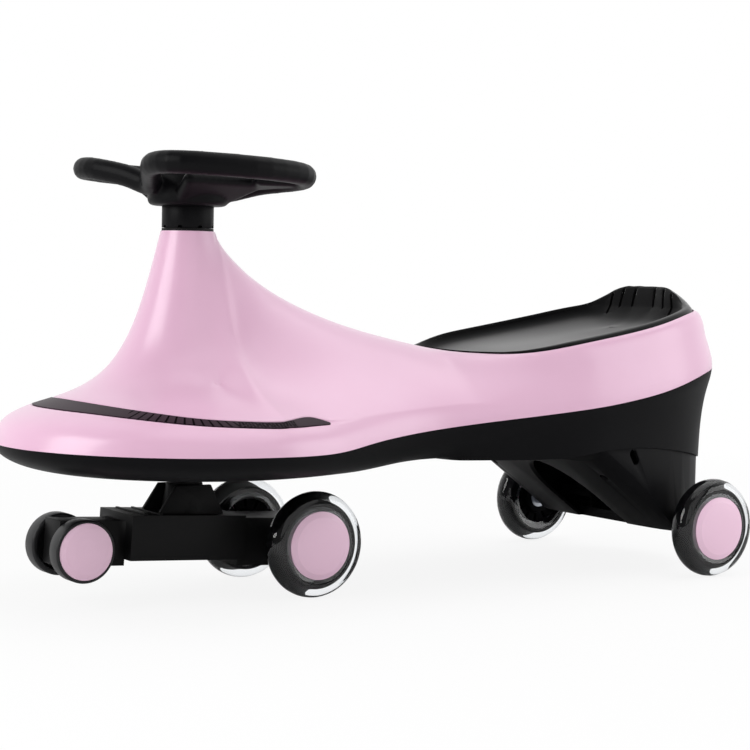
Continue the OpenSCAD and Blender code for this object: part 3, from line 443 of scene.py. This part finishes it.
def apply_modifier(piece: bpy.types.Object, kind: str, **settings: Any) -> None:
    """Adds one modifier with its settings and applies it.

    Args:
        piece: the active object.
        kind: Blender's name of the modifier type.
        **settings: the modifier's properties.
    """
    modifier = piece.modifiers.new(kind.lower(), kind)
    for name, value in settings.items():
        setattr(modifier, name, value)
    bpy.ops.object.modifier_apply(modifier=modifier.name)


def refine_node(
    node: str, finish: bpy.types.Material, skin: Skin, levels: int = 2, round_mm: float = 0.8, sharp: float = 34.0
) -> bpy.types.Object:
    """Copies a CAD node into a smooth piece that stands for it.

    Args:
        node: the node's name.
        finish: the piece's material.
        skin: how the copy is refined.
        levels: subdivisions of a swept skin.
        round_mm: edge radius of a flat-sided moulding, or cell size of a fused one.
        sharp: angle in degrees above which an edge stays an edge.

    Returns:
        The new piece.
    """
    source = frame["nodes"][node]
    bpy.ops.object.select_all(action="DESELECT")
    piece = bpy.data.objects.new(f"{node}_moulding", source.data.copy())
    bpy.context.scene.collection.objects.link(piece)
    piece.select_set(True)
    bpy.context.view_layer.objects.active = piece
    bpy.ops.mesh.customdata_custom_splitnormals_clear()
    bpy.ops.object.mode_set(mode="EDIT")
    bpy.ops.mesh.select_mode(type="VERT")
    bpy.ops.mesh.select_all(action="SELECT")
    bpy.ops.mesh.remove_doubles(threshold=0.02 * MM)
    if skin is Skin.SWEPT:
        bpy.ops.mesh.tris_convert_to_quads(face_threshold=math.radians(50), shape_threshold=math.radians(70))
        bpy.ops.mesh.select_all(action="DESELECT")
        bpy.ops.mesh.select_mode(type="EDGE")
        bpy.ops.mesh.edges_select_sharp(sharpness=math.radians(sharp))
        bpy.ops.transform.edge_crease(value=1.0)
    elif skin is Skin.EDGED:
        bpy.ops.mesh.dissolve_limited(angle_limit=math.radians(0.5))
    bpy.ops.object.mode_set(mode="OBJECT")
    if skin is Skin.SWEPT:
        apply_modifier(piece, "SUBSURF", levels=levels, render_levels=levels)
    elif skin is Skin.FUSED:
        apply_modifier(piece, "REMESH", mode="VOXEL", voxel_size=round_mm * MM)
        apply_modifier(piece, "SMOOTH", factor=0.5, iterations=10)
    else:
        apply_modifier(
            piece,
            "BEVEL",
            width=round_mm * MM,
            segments=2,
            limit_method="ANGLE",
            angle_limit=math.radians(sharp),
            use_clamp_overlap=True,
        )
    bpy.ops.object.shade_smooth_by_angle(angle=math.radians(sharp))
    paint(piece, finish)
    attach(piece, source["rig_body"])
    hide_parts(node)
    return piece


@dataclass
class BodyMouldings:
    """Pink shell, dark inlay, black base and the boot of the rear axle."""

    palette: Palette
    edge_mm: float = 1.2
    bin_degrees: float = 3.0
    flow_steps: int = 60
    flow_foot: float = 168.0
    crown_mm: float = 5.5

    def build(self) -> list[bpy.types.Object]:
        """Refines the large mouldings.

        Returns:
            The new pieces.
        """
        trim = refine_node("front_trim", self.palette.inlay, Skin.SWEPT)
        tops = self.measure_band(trim)
        shell = refine_node("body_shell", self.palette.pink, Skin.SWEPT)
        self.flow_neck(shell, tops)
        return [
            trim,
            shell,
            refine_node("base_tray", self.palette.base_black, Skin.SWEPT),
            refine_node("rear_axle_housing", self.palette.base_black, Skin.EDGED, round_mm=self.edge_mm),
        ]

    def bin_of(self, point: Vector) -> int:
        """Number of the angular slice round the column that a point lies in."""
        return round(math.degrees(math.atan2(abs(point.y), point.x - COLUMN_X)) / self.bin_degrees)

    def fill_spine(self, shell: bpy.types.Object) -> None:
        """Fills the hollow of the spine behind the neck, so that its outline runs down as in the photo.

        Args:
            shell: the pink body.
        """
        for vertex in shell.data.vertices:
            x, y, z = (part / MM for part in vertex.co)
            middle = ramp(abs(y), 55, 15) * ramp(COLUMN_X / MM - x, 10, 35) * ramp(x, -50, 30)
            crown = middle * ramp(z, 335, 300) * ramp(z, 190, 225)
            vertex.co += Vector((-0.62, 0.0, 0.78)) * self.crown_mm * crown * MM

    def flow_neck(self, shell: bpy.types.Object, tops: dict[int, float]) -> None:
        """Lets the skin flow evenly from the neck into the flanks and the spine, clear of the inlay.

        Args:
            shell: the pink body, still the active object.
            tops: height of the inlay's upper edge in each angular slice.
        """
        group = shell.vertex_groups.new(name="neck_flow")
        for vertex in shell.data.vertices:
            x, z = vertex.co.x / MM, vertex.co.z / MM
            foot = max(self.flow_foot, tops.get(self.bin_of(vertex.co), 0.0) / MM + 5)
            weight = ramp(z, foot, foot + 18) * ramp(z, 336, 322) * ramp(x, -70, 0) * ramp(COLUMN_X / MM - x, -35, -5)
            if weight > 0:
                group.add([vertex.index], weight, "REPLACE")
        self.fill_spine(shell)
        apply_modifier(shell, "SMOOTH", factor=0.5, iterations=self.flow_steps, vertex_group="neck_flow")

    def measure_band(self, trim: bpy.types.Object) -> dict[int, float]:
        """Writes on each point of the inlay how far across the band it lies, 0 at the foot and 1 at the top.

        Args:
            trim: the inlay, whose points get the attribute "across".

        Returns:
            Height of the inlay's upper edge in each angular slice.
        """
        points = [vertex.co for vertex in trim.data.vertices]
        bins = [self.bin_of(point) for point in points]
        low: dict[int, float] = {}
        high: dict[int, float] = {}
        for place, point in zip(bins, points):
            low[place] = min(low.get(place, point.z), point.z)
            high[place] = max(high.get(place, point.z), point.z)
        band = trim.data.attributes.new("across", "FLOAT", "POINT")
        for index, (place, point) in enumerate(zip(bins, points)):
            span = max(high[place] - low[place], 0.1 * MM)
            band.data[index].value = (point.z - low[place]) / span
        return high


@dataclass
class SeatMoulding:
    """Dished seat with a slotted back."""

    palette: Palette
    rise_mm: float = 24.0
    lean: float = 0.44
    centre_mm: float = 120.0
    round_steps: int = 12

    def build(self) -> list[bpy.types.Object]:
        """Refines the seat.

        Returns:
            The new pieces.
        """
        seat = refine_node("seat", self.palette.seat_black, Skin.SWEPT, sharp=62.0)
        self.lean_back(seat)
        return [seat]

    def lean_back(self, seat: bpy.types.Object) -> None:
        """Leans the raised back inwards and rounds its crest.

        Args:
            seat: the seat, still the active object.
        """
        low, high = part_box("seat")
        centre = Vector((low[0] + self.centre_mm * MM, 0.0))
        crest = seat.vertex_groups.new(name="crest")
        for vertex in seat.data.vertices:
            rise = vertex.co.z - (high[2] - self.rise_mm * MM)
            if rise <= 0:
                continue
            inward = (centre - vertex.co.xy).normalized() * rise * self.lean
            vertex.co.x += inward.x
            vertex.co.y += inward.y
            crest.add([vertex.index], ramp(rise / MM, self.rise_mm - 16, self.rise_mm - 8), "REPLACE")
        apply_modifier(seat, "SMOOTH", factor=0.5, iterations=self.round_steps, vertex_group="crest")


@dataclass
class SteeringGear:
    """Steering wheel, its cap and sleeve, and the column inside."""

    palette: Palette
    edge_mm: float = 0.6
    cell_mm: float = 1.4

    def build(self) -> list[bpy.types.Object]:
        """Refines what the hands see and plates what they don't.

        Returns:
            The new pieces.
        """
        made = [
            refine_node("steering_wheel", self.palette.grip_black, Skin.FUSED, round_mm=self.cell_mm, sharp=60.0),
            refine_node("steering_cap", self.palette.grip_black, Skin.EDGED, round_mm=self.edge_mm),
            refine_node("column_sleeve", self.palette.grip_black, Skin.EDGED, round_mm=self.edge_mm),
        ]
        for node in ("upper_bush", "lower_bush", "thrust_washer"):
            keep_node(node, self.palette.frame_black)
        for node in ("steering_shaft", "wheel_washer", "wheel_nut", "shaft_washer", "shaft_nut"):
            keep_node(node, self.palette.steel)
        return made


@dataclass
class Bogie:
    """Black carrier under the nose with its axles."""

    palette: Palette
    edge_mm: float = 0.9

    def build(self) -> list[bpy.types.Object]:
        """Rounds the carrier's edges and plates its axles.

        Returns:
            The new pieces.
        """
        made = [refine_node("bogie_frame", self.palette.frame_black, Skin.EDGED, round_mm=self.edge_mm)]
        for node in ("front_axle", "front_axle_nuts", "front_spacers", "guide_axle", "guide_clips"):
            keep_node(node, self.palette.steel)
        return made


@dataclass
class LightUpWheel:
    """Clear tyre cast over a black core, with a pink cap."""

    palette: Palette
    corner: str
    edge_mm: float = 0.4
    bore_mm: float = 44.2
    bore_half_mm: float = 10.3
    bite_mm: float = 0.8
    rim_mm: float = 36.0
    inset_mm: float = 2.6

    def build(self) -> list[bpy.types.Object]:
        """Dresses one wheel.

        Returns:
            The new pieces.
        """
        made = [self.turn_core(), self.cast_tyre()]
        keep_node(f"{self.corner}_cap", self.palette.cap_pink)
        keep_node(f"{self.corner}_bearings", self.palette.steel)
        keep_node(f"{self.corner}_sleeve", self.palette.steel)
        return made

    def turn_core(self) -> bpy.types.Object:
        """Copies the core and draws its rim in, so that a clear band shows outside it.

        Returns:
            The black core.
        """
        node = f"{self.corner}_core"
        core = refine_node(node, self.palette.core_black, Skin.EDGED, round_mm=self.edge_mm)
        low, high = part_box(node)
        middle = (Vector(low) + Vector(high)) / 2
        for vertex in core.data.vertices:
            arm = vertex.co - middle
            radius = math.hypot(arm.x, arm.z)
            if radius > self.rim_mm * MM:
                drawn_mm = self.inset_mm * ramp(radius / MM, self.rim_mm, self.rim_mm + 4)
                shrunk = (radius - drawn_mm * MM) / radius
                vertex.co = middle + Vector((arm.x * shrunk, arm.y, arm.z * shrunk))
        return core

    def cast_tyre(self) -> bpy.types.Object:
        """Copies the tyre and lets its bore bite into the core, as the cast resin does, so no air lies between.

        Returns:
            The clear tyre.
        """
        node = f"{self.corner}_tyre"
        source = frame["nodes"][node]
        low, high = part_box(node)
        middle = (Vector(low) + Vector(high)) / 2
        bpy.ops.object.select_all(action="DESELECT")
        tyre = bpy.data.objects.new(f"{node}_casting", source.data.copy())
        bpy.context.scene.collection.objects.link(tyre)
        tyre.select_set(True)
        bpy.context.view_layer.objects.active = tyre
        bpy.ops.mesh.customdata_custom_splitnormals_clear()
        bpy.ops.object.mode_set(mode="EDIT")
        bpy.ops.mesh.select_mode(type="VERT")
        bpy.ops.mesh.select_all(action="SELECT")
        bpy.ops.mesh.remove_doubles(threshold=0.02 * MM)
        bpy.ops.object.mode_set(mode="OBJECT")
        for vertex in tyre.data.vertices:
            arm = vertex.co - middle
            radius = math.hypot(arm.x, arm.z)
            if radius < self.bore_mm * MM and abs(arm.y) < self.bore_half_mm * MM:
                shrunk = (radius - (self.inset_mm + self.bite_mm) * MM) / radius
                vertex.co = middle + Vector((arm.x * shrunk, arm.y * 0.94, arm.z * shrunk))
        bpy.ops.object.shade_smooth_by_angle(angle=math.radians(32))
        paint(tyre, self.palette.clear)
        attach(tyre, source["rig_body"])
        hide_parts(node)
        return tyre


@dataclass
class GuideWheel:
    """Small black wheel with a pink cap that stops the nose from tipping."""

    palette: Palette
    side: str
    edge_mm: float = 0.6

    def build(self) -> list[bpy.types.Object]:
        """Dresses one guide wheel.

        Returns:
            The new pieces.
        """
        made = [refine_node(f"guide_{self.side}_wheel", self.palette.tread_black, Skin.EDGED, round_mm=self.edge_mm)]
        keep_node(f"guide_{self.side}_cap", self.palette.cap_pink)
        return made


@dataclass
class Fasteners:
    """Rear axle and the screws that join the mouldings."""

    palette: Palette

    def build(self) -> list[bpy.types.Object]:
        """Plates the fasteners.

        Returns:
            No new pieces.
        """
        for node in ("rear_axle", "rear_axle_nuts", "rear_spacers", "shell_screws", "seat_screws", "housing_screws"):
            keep_node(node, self.palette.steel)
        return []


@dataclass
class Studio:
    """White sweep, soft boxes and the camera."""

    lens_mm: float = 90.4
    eye_mm: tuple[float, float, float] = (1048.7, 1552.0, 306.4)
    yaw: float = 236.18
    pitch: float = -3.158
    roll: float = 1.094
    floor_m: float = 12.0
    room_dark: float = 0.16

    def camera(self) -> None:
        """Stands the camera where the photo was taken from."""
        yaw, pitch, roll = (math.radians(a) for a in (self.yaw, self.pitch, self.roll))
        ahead = Vector((math.cos(pitch) * math.cos(yaw), math.cos(pitch) * math.sin(yaw), math.sin(pitch)))
        right = ahead.cross(Vector((0, 0, 1))).normalized()
        up = right.cross(ahead)
        across = right * math.cos(roll) + up * math.sin(roll)
        upright = up * math.cos(roll) - right * math.sin(roll)
        bpy.ops.object.camera_add()
        camera = bpy.context.object
        camera.name = "portrait_camera"
        axes = Matrix((across, upright, -ahead)).transposed().to_4x4()
        camera.matrix_world = Matrix.Translation(Vector(self.eye_mm) * MM) @ axes
        camera.data.lens = self.lens_mm
        camera.data.sensor_width = 36.0
        camera.data.clip_end = 50.0
        bpy.context.scene.camera = camera

    def floor(self) -> None:
        """Lays a pale floor that fades to the white of the background and keeps a soft shadow."""
        bpy.ops.object.select_all(action="DESELECT")
        bpy.ops.mesh.primitive_plane_add(size=self.floor_m, location=(0, 0, -0.0005))
        floor = bpy.context.object
        floor.name = "studio_floor"
        bpy.ops.object.mode_set(mode="EDIT")
        bpy.ops.mesh.subdivide(number_cuts=3)
        bpy.ops.object.mode_set(mode="OBJECT")
        paper = bpy.data.materials.new("white_paper_sweep")
        paper.use_nodes = True
        tree = paper.node_tree
        tree.nodes.clear()
        ray = add_node(tree, "ShaderNodeLightPath").outputs
        place = add_node(tree, "ShaderNodeTexCoord").outputs["Object"]
        reach = add_node(tree, "ShaderNodeVectorMath", {0: place}, operation="LENGTH").outputs["Value"]
        fade = add_node(
            tree,
            "ShaderNodeMapRange",
            {"Value": reach, "From Min": 0.5, "From Max": 1.6, "To Min": 0.88, "To Max": 1.0},
        ).outputs["Result"]
        seen = add_node(
            tree, "ShaderNodeMath", {0: ray["Is Camera Ray"], 1: ray["Is Transmission Ray"]}, operation="MAXIMUM"
        )
        share = add_node(tree, "ShaderNodeMath", {0: seen.outputs["Value"], 1: fade}, operation="MULTIPLY")
        matt = add_node(tree, "ShaderNodeBsdfDiffuse", {"Color": (0.85, 0.85, 0.85, 1.0)})
        white = add_node(tree, "ShaderNodeEmission", {"Color": (1.0, 1.0, 1.0, 1.0), "Strength": 1.0})
        mixed = add_node(
            tree,
            "ShaderNodeMixShader",
            {0: share.outputs["Value"], 1: matt.outputs["BSDF"], 2: white.outputs["Emission"]},
        )
        add_node(tree, "ShaderNodeOutputMaterial", {"Surface": mixed.outputs["Shader"]})
        paint(floor, paper)

    def world(self) -> None:
        """Surrounds the car with a white backdrop that darkens behind the camera."""
        world = bpy.data.worlds.new("white_studio")
        bpy.context.scene.world = world
        world.use_nodes = True
        tree = world.node_tree
        tree.nodes.clear()
        ray = add_node(tree, "ShaderNodeLightPath").outputs
        seen = add_node(
            tree, "ShaderNodeMath", {0: ray["Is Camera Ray"], 1: ray["Is Transmission Ray"]}, operation="MAXIMUM"
        ).outputs["Value"]
        sight = add_node(tree, "ShaderNodeTexCoord").outputs["Generated"]
        yaw = math.radians(self.yaw)
        ahead = add_node(
            tree, "ShaderNodeVectorMath", {0: sight, 1: (math.cos(yaw), math.sin(yaw), 0.0)}, operation="DOT_PRODUCT"
        ).outputs["Value"]
        room = add_node(
            tree,
            "ShaderNodeMapRange",
            {"Value": ahead, "From Min": -0.25, "From Max": 0.45, "To Min": self.room_dark, "To Max": 1.0},
        ).outputs["Result"]
        strength = add_node(tree, "ShaderNodeMath", {0: room, 1: seen}, operation="MAXIMUM").outputs["Value"]
        sky = add_node(tree, "ShaderNodeBackground", {"Color": (1.0, 1.0, 1.0, 1.0), "Strength": strength})
        add_node(tree, "ShaderNodeOutputWorld", {"Surface": sky.outputs["Background"]})

    def soft_box(
        self, name: str, place: Sequence[float], aim: Sequence[float], size: tuple[float, float], power: float
    ) -> None:
        """Hangs one rectangular soft box.

        Args:
            name: the lamp's name.
            place: where it hangs, in metres.
            aim: the point it faces.
            size: its width and height in metres.
            power: its watts.
        """
        bpy.ops.object.light_add(type="AREA", location=place)
        lamp = bpy.context.object
        lamp.name = name
        lamp.data.shape = "RECTANGLE"
        lamp.data.size, lamp.data.size_y = size
        lamp.data.energy = power
        lamp.rotation_euler = (Vector(aim) - Vector(place)).to_track_quat("-Z", "Y").to_euler()

    def build(self) -> None:
        """Sets up the whole studio."""
        bpy.context.scene.view_settings.view_transform = "Standard"
        self.world()
        self.floor()
        self.camera()
        self.soft_box("key_box", (2.3, 0.0, 1.2), (0.1, 0.0, 0.25), (1.4, 1.6), 33.0)
        self.soft_box("top_box", (-0.6, 0.4, 2.3), (-0.1, 0.0, 0.2), (3.0, 2.2), 22.0)
        self.soft_box("front_box", (0.0, 2.9, 1.3), (-0.1, 0.0, 0.2), (3.2, 2.4), 15.0)
        self.soft_box("tail_box", (-2.1, 1.6, 0.8), (-0.1, 0.0, 0.25), (1.6, 1.4), 16.0)


def main() -> None:
    """Builds every sub-assembly in order and reports its pieces."""
    logging.basicConfig(level=logging.INFO, format="%(message)s")
    palette = Palette.mixed()
    corners = ("front_left", "front_right", "rear_left", "rear_right")
    assemblies = [
        BodyMouldings(palette),
        SeatMoulding(palette),
        SteeringGear(palette),
        Bogie(palette),
        *(LightUpWheel(palette, corner) for corner in corners),
        *(GuideWheel(palette, side) for side in ("left", "right")),
        Fasteners(palette),
    ]
    for assembly in assemblies:
        for piece in assembly.build():
            LOG.info("%s: %s, %d faces", type(assembly).__name__, piece.name, len(piece.data.polygons))
    Studio().build()


if __name__ == "__main__":
    main()
